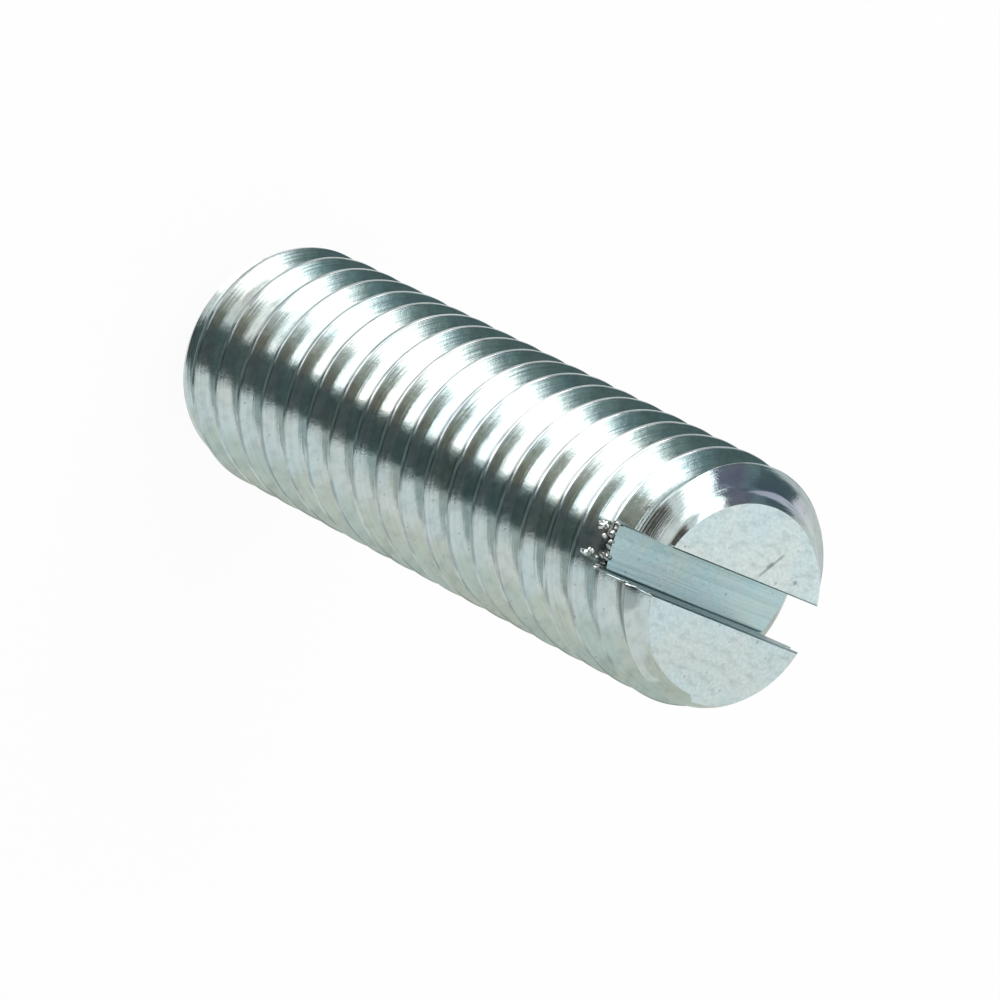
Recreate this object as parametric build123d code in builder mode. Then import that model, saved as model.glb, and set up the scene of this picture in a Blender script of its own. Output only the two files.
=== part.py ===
from build123d import *

# Slotted grub set screw with a flat point: an M6 x 20 stud that is threaded all over.
#
# It is one piece of steel. The rod is turned with a rounded chamfer at the point, and the
# other end is pressed to a rounded shoulder that leans a little. The thread is rolled into
# the rod and runs out through both. The driver slot is sawn last.
#
# The screw stands on its flat point: the origin is the middle of that face, +Z runs up the
# thread's axis to the slotted end, and the slot runs along X.

import os
from math import ceil, radians, tan

# Driving dimensions, in millimetres and degrees

# The rod
nominal_diameter = 6.0  # across the crests
overall_length = 20.0
point_diameter = 4.0  # the flat face that bears on a shaft
point_chamfer_angle = 45.0  # between the chamfer and the axis
point_edge_radius = 1.45  # of the rounding between the chamfer and the crests

# The rounded shoulder at the slotted end. It leans, so its round sections lie off centre.
head_face_diameter = 4.78
head_face_offset = 0.25  # from the thread's axis, towards +Y
shoulder_length = 1.5  # along the axis, to where it is clear of the crests all round
shoulder_middle_share = 0.35  # of that length, where its middle section lies
shoulder_fullness = 0.66  # of the step from the face to the crests, reached there
shoulder_middle_offset = 0.10  # from the thread's axis, towards +Y

# The driver slot
slot_width = 1.14
slot_depth = 1.80
slot_offset = 0.14  # from the thread's axis, towards +Y

# The thread, right-handed
thread_pitch = 1.0
thread_angle = 60.0  # between the flanks
crest_width_share = 0.125  # the flat crest, of the pitch
groove_depth_share = 0.6134  # crest to root, of the pitch
straight_flank_share = 0.32  # how deep a flank runs before the rounded root, of the pitch
thread_start_angle = 345.0  # where the groove passes the plane of the point

# Room for the cutting forms to pass beyond the rod, which changes nothing on the screw
cut_past_crest = 0.06
cut_past_end = 1.0

# Worked out from the sizes above
crest_radius = nominal_diameter / 2
point_radius = point_diameter / 2
head_face_radius = head_face_diameter / 2
groove_depth = groove_depth_share * thread_pitch
flank_depth = straight_flank_share * thread_pitch
mouth_half_width = thread_pitch * (1 - crest_width_share) / 2


def groove_half_width(depth):
    """Half of the groove's width between its straight flanks, at a depth below the crest."""
    return mouth_half_width - depth * tan(radians(thread_angle / 2))


# The rod, with the chamfer of its point. Its outline is drawn on the YZ plane.
point_chamfer_length = (crest_radius - point_radius) / tan(radians(point_chamfer_angle))
with BuildPart() as rod:
    with BuildSketch(Plane.YZ):
        with BuildLine():
            FilletPolyline(
                (point_radius, 0),
                (crest_radius, point_chamfer_length),
                (crest_radius, overall_length),
                radius=point_edge_radius,
            )
            Polyline(
                (crest_radius, overall_length),
                (0, overall_length),
                (0, 0),
                (point_radius, 0),
            )
        make_face()
    revolve(axis=Axis.Z)

# The form of the shoulder, from the end face down to where it is clear of the crests
shoulder_middle_radius = head_face_radius + (crest_radius - head_face_radius) * shoulder_fullness
shoulder_foot_radius = crest_radius + head_face_offset + cut_past_crest
with BuildPart() as shoulder_form:
    with BuildSketch(Plane.XY.offset(overall_length)):
        with Locations((0, head_face_offset)):
            Circle(head_face_radius)
    with BuildSketch(Plane.XY.offset(overall_length - shoulder_length * shoulder_middle_share)):
        with Locations((0, shoulder_middle_offset)):
            Circle(shoulder_middle_radius)
    with BuildSketch(Plane.XY.offset(overall_length - shoulder_length)):
        with Locations((0, -head_face_offset)):
            Circle(shoulder_foot_radius)
    loft()

# What is pressed away around that form
with BuildPart() as pressed_away:
    with Locations((0, 0, overall_length - shoulder_length)):
        Cylinder(
            shoulder_foot_radius + head_face_offset + cut_past_crest,
            shoulder_length,
            align=(Align.CENTER, Align.CENTER, Align.MIN),
        )
    add(shoulder_form, mode=Mode.SUBTRACT)

# One turn of the groove between the threads. Two facets stand for its rounded root.
with BuildPart() as groove_turn:
    with BuildLine() as groove_path:
        Helix(pitch=thread_pitch, height=thread_pitch, radius=crest_radius)
    with BuildSketch(Plane.XZ):
        with BuildLine():
            Polyline(
                (crest_radius + cut_past_crest, -groove_half_width(-cut_past_crest)),
                (crest_radius - flank_depth, -groove_half_width(flank_depth)),
                (crest_radius - groove_depth, 0),
                (crest_radius - flank_depth, groove_half_width(flank_depth)),
                (crest_radius + cut_past_crest, groove_half_width(-cut_past_crest)),
                close=True,
            )
        make_face()
    sweep(path=groove_path.line, is_frenet=True)

# The groove runs past both ends of the rod
turn_count = ceil(overall_length / thread_pitch) + 2
turn_places = [
    Location((0, 0, (turn - 1) * thread_pitch), (0, 0, thread_start_angle))
    for turn in range(turn_count)
]

with BuildPart() as set_screw:
    add(rod)
    add(pressed_away, mode=Mode.SUBTRACT)
    with Locations(*turn_places):
        add(groove_turn, mode=Mode.SUBTRACT)
    with BuildSketch(Plane.XY.offset(overall_length)):
        with Locations((0, slot_offset)):
            Rectangle(nominal_diameter + 2 * cut_past_end, slot_width)
    extrude(amount=-slot_depth, mode=Mode.SUBTRACT)

set_screw.part.label = "set_screw"
os.makedirs("parts", exist_ok=True)
export_step(set_screw.part, "parts/set_screw.step")
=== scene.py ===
"""A slotted grub set screw with bright zinc plating, standing on its flat point.

The thread is a fine helical mesh with rounded crests and roots. The slot is sawn out of it,
with the burrs that the saw left. Lengths are in metres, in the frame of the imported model:
+Z runs up the thread's axis and the slot runs along X.
"""

from __future__ import annotations

import logging
import random
from dataclasses import dataclass, field
from enum import Enum
from math import cos, pi, radians, sin, sqrt, tan

import bmesh
import bpy
import numpy as np
from mathutils import Matrix, Vector
from mathutils.bvhtree import BVHTree

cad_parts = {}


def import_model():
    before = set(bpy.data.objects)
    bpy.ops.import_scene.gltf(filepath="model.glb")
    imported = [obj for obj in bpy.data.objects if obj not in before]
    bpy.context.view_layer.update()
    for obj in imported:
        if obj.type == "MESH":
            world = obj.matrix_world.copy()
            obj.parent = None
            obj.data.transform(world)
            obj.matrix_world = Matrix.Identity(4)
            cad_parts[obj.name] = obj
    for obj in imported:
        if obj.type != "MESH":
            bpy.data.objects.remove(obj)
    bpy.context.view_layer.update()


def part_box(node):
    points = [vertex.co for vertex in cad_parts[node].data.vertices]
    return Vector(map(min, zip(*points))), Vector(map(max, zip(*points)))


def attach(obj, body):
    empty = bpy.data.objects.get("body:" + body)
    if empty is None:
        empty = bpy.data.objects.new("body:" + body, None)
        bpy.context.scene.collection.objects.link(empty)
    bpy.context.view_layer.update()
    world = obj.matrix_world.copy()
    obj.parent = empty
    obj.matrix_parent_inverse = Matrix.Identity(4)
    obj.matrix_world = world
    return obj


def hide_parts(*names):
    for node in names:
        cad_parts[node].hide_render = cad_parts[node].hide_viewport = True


LOG = logging.getLogger("set_screw")

MM = 0.001
NODE = "set_screw"
BODY = "root"
SEED = 6120
CREST_RADIUS = 3.0 * MM
CLEARANCE = 1.0 * MM  # how far the sawing form reaches beyond the metal
DEPTH_NAME = "groove_depth"  # the mesh's own values of the depth below the rod, in millimetres
PICTURE = 1000  # the photograph's width and height, in pixels
WHITE = (1.0, 1.0, 1.0)
FLOAT_SOCKET = "NodeSocketFloat"
COLOUR_SOCKET = "NodeSocketColor"
MIX_INPUTS = (6, 7)  # the two colours of a Mix node, after its numbers and vectors
MIX_OUTPUT = 2

Socket = bpy.types.NodeSocket
Colour = tuple[float, float, float]
Place = tuple[float, float, float]
Spot = tuple[float, float]
Span = tuple[float, float]


class Ray(Enum):
    """The rays that see the plain white background."""

    SEEN = "Is Camera Ray"
    MIRRORED = "Is Glossy Ray"
    THROUGH = "Is Transmission Ray"


class Surface(Enum):
    """The screw's surfaces, in the order of their materials."""

    ROLLED = 0
    SAWN = 1
    CUT_END = 2


def direction(azimuth: float, elevation: float) -> Vector:
    """The unit vector towards a place in the studio, from angles in degrees."""
    a, e = radians(azimuth), radians(elevation)
    return Vector((cos(e) * cos(a), cos(e) * sin(a), sin(e)))


def in_scene(name: str, data: bpy.types.ID) -> bpy.types.Object:
    """Makes an object and links it into the scene.

    Args:
        name: of the object.
        data: its mesh, lamp or camera.

    Returns:
        The object.
    """
    made = bpy.data.objects.new(name, data)
    bpy.context.scene.collection.objects.link(made)
    return made


def rows_of(items: bpy.types.bpy_prop_collection, name: str) -> np.ndarray:
    """Reads a value of three numbers from every item.

    Args:
        items: the faces or the points of a mesh.
        name: of the value.

    Returns:
        One row for each item.
    """
    values = np.zeros(len(items) * 3)
    items.foreach_get(name, values)
    return values.reshape(-1, 3)


@dataclass(frozen=True)
class ThreadForm:
    """The thread's section, in shares of its pitch, and where it starts.

    Args:
        pitch: from crest to crest, in metres.
        crest_radius: from the axis to the crests, in metres.
        half_angle: between a flank and a plane square to the axis, in radians.
        crest_share: the flat crest before its corners are rounded.
        root_share: the radius of the rounded root.
        corner_share: the radius of the crest's corners.
        start_angle: where the groove passes the plane of the point, in radians.
    """

    pitch: float = 1.0 * MM
    crest_radius: float = CREST_RADIUS
    half_angle: float = radians(28)
    crest_share: float = 0.125
    root_share: float = 0.1855
    corner_share: float = 0.05
    start_angle: float = radians(-15.0)

    def half_groove(
        self,
        root_steps: int = 4,
        flank_shares: tuple[float, ...] = (0.02, 0.5, 0.98),
        corner_steps: int = 4,
    ) -> list[Spot]:
        """Points of the section from the groove's middle to the middle of the crest.

        Args:
            root_steps: how many steps the rounded root takes.
            flank_shares: where the flank's own points lie along it. Two lie close to its ends,
                so that it shades flat.
            corner_steps: how many steps the crest's corner takes.

        Returns:
            Pairs of an axial distance from the groove's middle and a radius, in metres.
        """
        mouth = (1 - self.crest_share) / 2 * self.pitch
        apex = self.crest_radius - mouth / tan(self.half_angle)
        root = self.root_share * self.pitch
        root_centre = apex + root / sin(self.half_angle)
        turn = pi / 2 - self.half_angle
        points = [
            (root * sin(turn * i / root_steps), root_centre - root * cos(turn * i / root_steps))
            for i in range(root_steps + 1)
        ]
        corner = self.corner_share * self.pitch
        reach = corner * tan(turn / 2)
        flank_start = points[-1]
        flank_end = (mouth - reach * cos(turn), self.crest_radius - reach * sin(turn))
        for share in flank_shares:
            points.append(tuple(a + (b - a) * share for a, b in zip(flank_start, flank_end)))
        for i in range(corner_steps + 1):
            angle = turn * (1 - i / corner_steps)
            along = mouth + reach - corner * sin(angle)
            points.append((along, self.crest_radius - corner + corner * cos(angle)))
        points.append((self.pitch / 2, self.crest_radius))
        return points


@dataclass(frozen=True)
class PointForm:
    """The chamfered and rounded point.

    Args:
        face_radius: of the flat face.
        crest_radius: from the axis to the crests.
        edge_radius: of the rounding between the chamfer and the crests.
    """

    face_radius: float = 2.0 * MM
    crest_radius: float = CREST_RADIUS
    edge_radius: float = 1.45 * MM

    def radius(self, z: np.ndarray) -> np.ndarray:
        """The point's radius at heights above its face, in metres."""
        reach = self.edge_radius * tan(pi / 8)  # from the corner of 45 degrees to the rounding
        round_end = self.crest_radius - self.face_radius + reach
        round_start = round_end - reach * (1 + sqrt(0.5))
        depth = np.clip(round_end - z, 0.0, self.edge_radius)
        rounded = self.crest_radius - self.edge_radius + np.sqrt(self.edge_radius**2 - depth**2)
        return np.where(z < round_start, self.face_radius + z, rounded)


@dataclass(frozen=True)
class ShoulderForm:
    """The rounded shoulder that leans at the slotted end, through three round sections.

    Args:
        length: along the axis, to where it is clear of the crests.
        middle_share: of that length, where the middle section lies.
        radii: of the end face, the middle section and the foot.
        offsets: of their centres from the axis, towards +Y.
    """

    length: float = 1.5 * MM
    middle_share: float = 0.35
    radii: tuple[float, float, float] = (2.39 * MM, 2.7926 * MM, 3.31 * MM)
    offsets: tuple[float, float, float] = (0.25 * MM, 0.10 * MM, -0.25 * MM)

    def radius(self, below_end: np.ndarray, angle: np.ndarray) -> np.ndarray:
        """The distance from the thread's axis to the shoulder.

        Args:
            below_end: distances below the end face, in metres.
            angle: directions around the axis, in radians.

        Returns:
            The distances. Below the shoulder's foot they keep growing.
        """
        levels = (0.0, self.middle_share, 1.0)
        share = np.clip(below_end / self.length, 0.0, 1.0)
        ring = np.polyval(np.polyfit(levels, self.radii, 2), share)
        centre = np.polyval(np.polyfit(levels, self.offsets, 2), share)
        half_chord = np.sqrt(np.maximum(ring**2 - (centre * np.cos(angle)) ** 2, 0.0))
        reach = centre * np.sin(angle) + half_chord
        return reach + np.maximum(below_end - self.length, 0.0)


@dataclass(frozen=True)
class SlotForm:
    """The driver slot.

    Args:
        width: between its walls.
        depth: below the end face.
        offset: of its middle from the axis, towards +Y.
        corner: the radius of its floor's corners.
        flare: how far its upper edges are broken.
        flare_steps: the broken edge's points, as shares of the flare outwards and downwards.
    """

    width: float = 1.14 * MM
    depth: float = 1.80 * MM
    offset: float = 0.14 * MM
    corner: float = 0.07 * MM
    flare: float = 0.035 * MM
    flare_steps: tuple[Span, ...] = ((1.0, 0.0), (0.3, 0.7), (0.0, 2.0))

    def section(self, length: float, steps: int = 4) -> list[Spot]:
        """The sawn section, as pairs of a place along Y and a height.

        Args:
            length: of the screw.
            steps: how many steps each rounded corner takes.

        Returns:
            The points around the section.
        """
        half = self.width / 2
        floor = length - self.depth
        side = [(half + self.flare, length + CLEARANCE)]
        for out, down in self.flare_steps:
            side.append((half + self.flare * out, length - self.flare * down))
        for i in range(steps + 1):
            turn = pi / 2 * i / steps
            across = half - self.corner + self.corner * cos(turn)
            side.append((across, floor + self.corner - self.corner * sin(turn)))
        points = side + [(-y, z) for y, z in reversed(side)]
        return [(y + self.offset, z) for y, z in points]


@dataclass(frozen=True)
class SawBurrs:
    """The torn metal that the saw left at one mouth of the slot. It is part of the screw's mesh.

    Args:
        slot: the form of the driver slot.
        reach: the radius that no burr passes.
        chips: how many chips hang at the mouth.
        mouth_side: from where to where they lie along Y.
        mouth_drop: how far below the slot's floor they lie.
        chip_sizes: from how small to how large half a chip is, along X, Y and Z.
        chip_out: from how little to how much of that a chip stands out of the metal.
        chip_turns: how far a chip turns around X and Y at most, in radians.
        chip_rough: from how little to how much of its size each of its points stands out.
        edge_start: where the lifted edge starts, below the end face.
        edge_size: how thick and how wide the lifted edge is.
        edge_spreads: from how little to how much of its thickness and width it has in places.
        edge_steps: how many steps it takes.
        edge_ramp: over how many of them each end thins out.
        edge_tip: the part of a step that is left at its very ends.
    """

    slot: SlotForm
    reach: float
    chips: int = 24
    mouth_side: Span = (-0.42 * MM, 0.74 * MM)
    mouth_drop: float = 0.42 * MM
    chip_sizes: tuple[Span, Span, Span] = ((0.05, 0.14), (0.04, 0.12), (0.04, 0.15))
    chip_out: Span = (0.1, 0.7)
    chip_turns: Span = (1.0, 0.6)
    chip_rough: Span = (0.78, 1.10)
    edge_start: float = 1.25 * MM
    edge_size: Span = (0.030 * MM, 0.042 * MM)
    edge_spreads: tuple[Span, Span] = ((0.6, 1.3), (0.7, 1.25))
    edge_steps: int = 22
    edge_ramp: int = 4
    edge_tip: float = 0.6

    def held(self, place: Vector, length: float) -> Vector:
        """Brings a place inside the crests and below the end face.

        Args:
            place: to be held.
            length: of the screw.

        Returns:
            The held place.
        """
        radius = max(Vector((place.x, place.y)).length, MM * 0.001)
        inward = min(1.0, self.reach / radius)
        return Vector((place.x * inward, place.y * inward, min(place.z, length)))

    def rooted(self, metal: BVHTree, side: float, height: float) -> Vector:
        """The place where a line from outside the mouth, at a place along Y, meets the metal."""
        start = Vector((self.reach * 2, side, height))
        return metal.ray_cast(start, Vector((-1.0, 0.0, 0.0)))[0]

    def chip(
        self, form: bmesh.types.BMesh, root: Vector, chance: random.Random, length: float
    ) -> None:
        """Adds one ragged chip that is rooted in the metal.

        Args:
            form: that the chip goes into.
            root: where it is rooted.
            chance: where its form comes from.
            length: of the screw.
        """
        size = Vector([chance.uniform(*span) for span in self.chip_sizes]) * MM
        place = root + Vector((size.x * chance.uniform(*self.chip_out), 0.0, 0.0))
        turn = Matrix.Identity(3)
        for most, axis in zip(self.chip_turns, "XY"):
            turn = turn @ Matrix.Rotation(chance.uniform(-most, most), 3, axis)
        for vert in bmesh.ops.create_icosphere(form, subdivisions=2, radius=1.0)["verts"]:
            rough = chance.uniform(*self.chip_rough)
            spot = Vector((vert.co.x * size.x, vert.co.y * size.y, vert.co.z * size.z)) * rough
            vert.co = self.held(place + turn @ spot, length)

    def lifted_edge(
        self, form: bmesh.types.BMesh, rim: list[Vector], chance: random.Random, length: float
    ) -> None:
        """Adds the thin edge that the saw lifted along one wall.

        Args:
            form: that the edge goes into.
            rim: places along the wall's edge.
            chance: where its unevenness comes from.
            length: of the screw.
        """
        sides = 8
        sideways = Vector((0.0, 1.0, 0.0))
        rings = []
        for i, spot in enumerate(rim):
            nearest_end = min(i, len(rim) - 1 - i) + self.edge_tip
            taper = sin(pi * min(1.0, nearest_end / self.edge_ramp) / 2)
            thick, wide = (
                size * taper * chance.uniform(*spread)
                for size, spread in zip(self.edge_size, self.edge_spreads)
            )
            out = Vector((spot.x, spot.y, 0.0)).normalized()
            ring = []
            for j in range(sides):
                turn = 2 * pi * j / sides
                off = out * (thick * cos(turn)) + sideways * (wide * sin(turn))
                ring.append(form.verts.new(self.held(spot + off, length)))
            rings.append(ring)
        for below, above in zip(rings, rings[1:]):
            for j in range(sides):
                k = (j + 1) % sides
                form.faces.new((below[j], below[k], above[k], above[j]))
        form.faces.new(rings[0][::-1])
        form.faces.new(rings[-1])

    def add_to(self, mesh: bpy.types.Mesh, length: float) -> int:
        """Adds the burrs to the screw's mesh.

        Args:
            mesh: of the screw.
            length: of the screw.

        Returns:
            The number of the first face that is a burr's.
        """
        inset = 0.01 * MM  # below an edge, so that a line meets the metal and not the edge
        beside = 0.005 * MM
        chance = random.Random(SEED)
        form = bmesh.new()
        form.from_mesh(mesh)
        old = len(form.faces)
        metal = BVHTree.FromBMesh(form)
        floor = length - self.slot.depth - inset
        for _ in range(self.chips):
            side = chance.uniform(*self.mouth_side)
            root = self.rooted(metal, side, floor - self.mouth_drop * chance.random())
            self.chip(form, root, chance, length)
        side = self.slot.offset + self.slot.width / 2 + self.slot.flare + beside
        rim = []
        for i in range(self.edge_steps + 1):
            below = self.edge_start * (1 - i / self.edge_steps) + inset
            rim.append(self.rooted(metal, side, length - below))
        self.lifted_edge(form, rim, chance, length)
        form.faces.ensure_lookup_table()
        bmesh.ops.recalc_face_normals(form, faces=form.faces[old:])
        form.to_mesh(mesh)
        form.free()
        return old


@dataclass
class ScrewBody:
    """The whole screw as one fine mesh.

    Args:
        length: from the point's face to the end face, in metres.
        thread: the form of the thread.
        point: the form of the flat point.
        shoulder: the form of the slotted end's shoulder.
        slot: the form of the driver slot.
        columns: how many steps one turn takes.
        edge_radius: how softly the thread meets the point and the shoulder.
        wobble: how far the rolled crests waver.
        waves: how many waves they waver in.
        waves_around: from how few to how many times a wave goes around the screw.
        waves_along: from how slowly to how fast it turns, in radians for each millimetre.
        smooth_angle: the angle at which an edge stays sharp, in radians.
    """

    length: float
    thread: ThreadForm = field(default_factory=ThreadForm)
    point: PointForm = field(default_factory=PointForm)
    shoulder: ShoulderForm = field(default_factory=ShoulderForm)
    slot: SlotForm = field(default_factory=SlotForm)
    columns: int = 150
    edge_radius: float = 0.03 * MM
    wobble: float = 0.010 * MM
    waves: int = 9
    waves_around: tuple[int, int] = (2, 17)
    waves_along: Span = (0.5, 6.0)
    smooth_angle: float = radians(35)

    def envelope(self, angle: np.ndarray, z: np.ndarray) -> np.ndarray:
        """The rod's radius with its point and shoulder and no thread, at an angle and a height."""
        return np.minimum(self.point.radius(z), self.shoulder.radius(self.length - z, angle))

    def soft_min(self, rolled: np.ndarray, rod: np.ndarray) -> np.ndarray:
        """The thread's or the rod's radius, whichever is smaller, with a rounded edge between.

        Args:
            rolled: the thread's radii.
            rod: the rod's radii at the same places.

        Returns:
            The radii. Along the straight rod the thread's own stay as they are.
        """
        least = 1e-9  # keeps the division below from one by zero
        reach = np.clip(2 * (self.thread.crest_radius - rod), least, self.edge_radius * 4)
        overlap = np.maximum(reach - np.abs(rolled - rod), 0.0) / reach
        return np.minimum(rolled, rod) - overlap * overlap * reach / 4

    def waver(self, angle: np.ndarray, z: np.ndarray) -> np.ndarray:
        """A small unevenness of the rolled crests.

        Args:
            angle: directions around the axis, in radians.
            z: heights above the point's face, in metres.

        Returns:
            The unevenness at each place, from 0 to 1.
        """
        chance = random.Random(SEED)
        total = np.zeros(np.broadcast(angle, z).shape)
        for _ in range(self.waves):
            around = chance.randint(*self.waves_around)
            along = chance.uniform(*self.waves_along) / MM
            total = total + np.sin(around * angle + along * z + chance.uniform(0, 2 * pi))
        return np.clip(0.5 + total / self.waves, 0.0, 1.0)

    def rod(self) -> bpy.types.Mesh:
        """The threaded rod with no slot: rows follow the helix and stop at both end faces."""
        half = self.thread.half_groove()
        section = [(-s, r) for s, r in reversed(half)][:-1] + half[:-1]
        per_turn = len(section)
        pitch = self.thread.pitch
        turns_below, turns_beyond = 2, 5  # turns that start below the point, and all spare ones
        row = np.arange((int(self.length / pitch) + turns_beyond) * per_turn)
        turn = row // per_turn - turns_below
        station = np.array([s for s, _ in section])[row % per_turn] + turn * pitch
        thread_radius = np.array([r for _, r in section])[row % per_turn]
        angle = np.arange(self.columns) * 2 * pi / self.columns
        lead = pitch * (angle - self.thread.start_angle) / (2 * pi)
        z = station[None, :] + lead[:, None]
        held = np.clip(z, 0.0, self.length)
        rolled = thread_radius[None, :] - self.wobble * self.waver(angle[:, None], held)
        radius = self.soft_min(rolled, self.envelope(angle[:, None], held))

        points: list[Place] = []
        index = np.zeros(z.shape, int)
        for i in range(self.columns):
            low = int(np.searchsorted(z[i], 0.0)) - 1
            high = int(np.searchsorted(z[i], self.length))
            for j in range(low, high + 1):
                index[i, j] = len(points)
                out = radius[i, j]
                points.append((out * cos(angle[i]), out * sin(angle[i]), held[i, j]))
            index[i, :low] = index[i, low]
            index[i, high + 1 :] = index[i, high]

        faces: list[list[int]] = []
        for i in range(self.columns):
            if i + 1 < self.columns:
                beside = index[i + 1]
            else:
                beside = np.concatenate([index[0, per_turn:], np.full(per_turn, index[0, -1])])
            for a, b, c, d in zip(index[i, :-1], index[i, 1:], beside[1:], beside[:-1]):
                ring = list(dict.fromkeys((int(a), int(d), int(c), int(b))))
                if len(ring) > 2:
                    faces.append(ring)
        faces.append([int(v) for v in index[::-1, 0]])
        faces.append([int(v) for v in index[:, -1]])
        mesh = bpy.data.meshes.new("screw_rod")
        mesh.from_pydata(points, [], faces)
        mesh.validate()
        return mesh

    def saw(self) -> bpy.types.Object:
        """The form that saws the slot."""
        section = self.slot.section(self.length)
        reach = self.thread.crest_radius + CLEARANCE
        form = bmesh.new()
        near, far = ([form.verts.new((x, y, z)) for y, z in section] for x in (-reach, reach))
        for i in range(len(section)):
            j = (i + 1) % len(section)
            form.faces.new((near[i], near[j], far[j], far[i]))
        form.faces.new(near[::-1])
        form.faces.new(far)
        bmesh.ops.recalc_face_normals(form, faces=form.faces)
        mesh = bpy.data.meshes.new("saw_form")
        form.to_mesh(mesh)
        form.free()
        return in_scene("saw_form", mesh)

    def mark_surfaces(self, mesh: bpy.types.Mesh, first_burr: int) -> None:
        """Gives every face the material of its surface, and every point its depth in the groove.

        Args:
            mesh: of the screw.
            first_burr: the number of the first face that is a burr's.
        """
        centre = rows_of(mesh.polygons, "center")
        normal = rows_of(mesh.polygons, "normal")
        near = 0.001 * MM
        upright = 0.999  # the least part of a normal along the axis on a flat end face
        across = np.abs(centre[:, 1] - self.slot.offset)
        above_floor = centre[:, 2] > self.length - self.slot.depth - near
        sawn = above_floor & (across < self.slot.width / 2 + self.slot.flare + near)
        flat = np.abs(normal[:, 2]) > upright
        ends = flat & ((centre[:, 2] < near) | (centre[:, 2] > self.length - near))
        kind = np.full(len(mesh.polygons), Surface.ROLLED.value)
        kind[sawn] = Surface.SAWN.value
        kind[ends] = Surface.CUT_END.value
        kind[first_burr:] = Surface.ROLLED.value
        mesh.polygons.foreach_set("material_index", kind.astype(np.int32))

        x, y, z = rows_of(mesh.vertices, "co").T
        depth = (self.envelope(np.arctan2(y, x), z) - np.hypot(x, y)) / MM
        depths = mesh.attributes.new(DEPTH_NAME, "FLOAT", "POINT")
        depths.data.foreach_set("value", depth.astype(np.float32))

    def build(self) -> bpy.types.Object:
        """Makes the threaded rod and saws the slot out of it.

        Returns:
            The finished object, at the origin.
        """
        body = in_scene("screw_body", self.rod())
        saw = self.saw()
        cut = body.modifiers.new("slot", "BOOLEAN")
        cut.operation = "DIFFERENCE"
        cut.solver = "EXACT"
        cut.object = saw
        graph = bpy.context.evaluated_depsgraph_get()
        sawn = bpy.data.meshes.new_from_object(body.evaluated_get(graph))
        body.modifiers.clear()
        body.data = sawn
        sawn.name = "screw_body"
        bpy.data.objects.remove(saw)
        first_burr = SawBurrs(self.slot, self.thread.crest_radius).add_to(sawn, self.length)
        sawn.polygons.foreach_set("use_smooth", [True] * len(sawn.polygons))
        sawn.set_sharp_from_angle(angle=self.smooth_angle)
        sawn.materials.clear()
        for surface in Surface:
            sawn.materials.append(bpy.data.materials.new(surface.name.lower()))
        self.mark_surfaces(sawn, first_burr)
        return body


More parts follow.
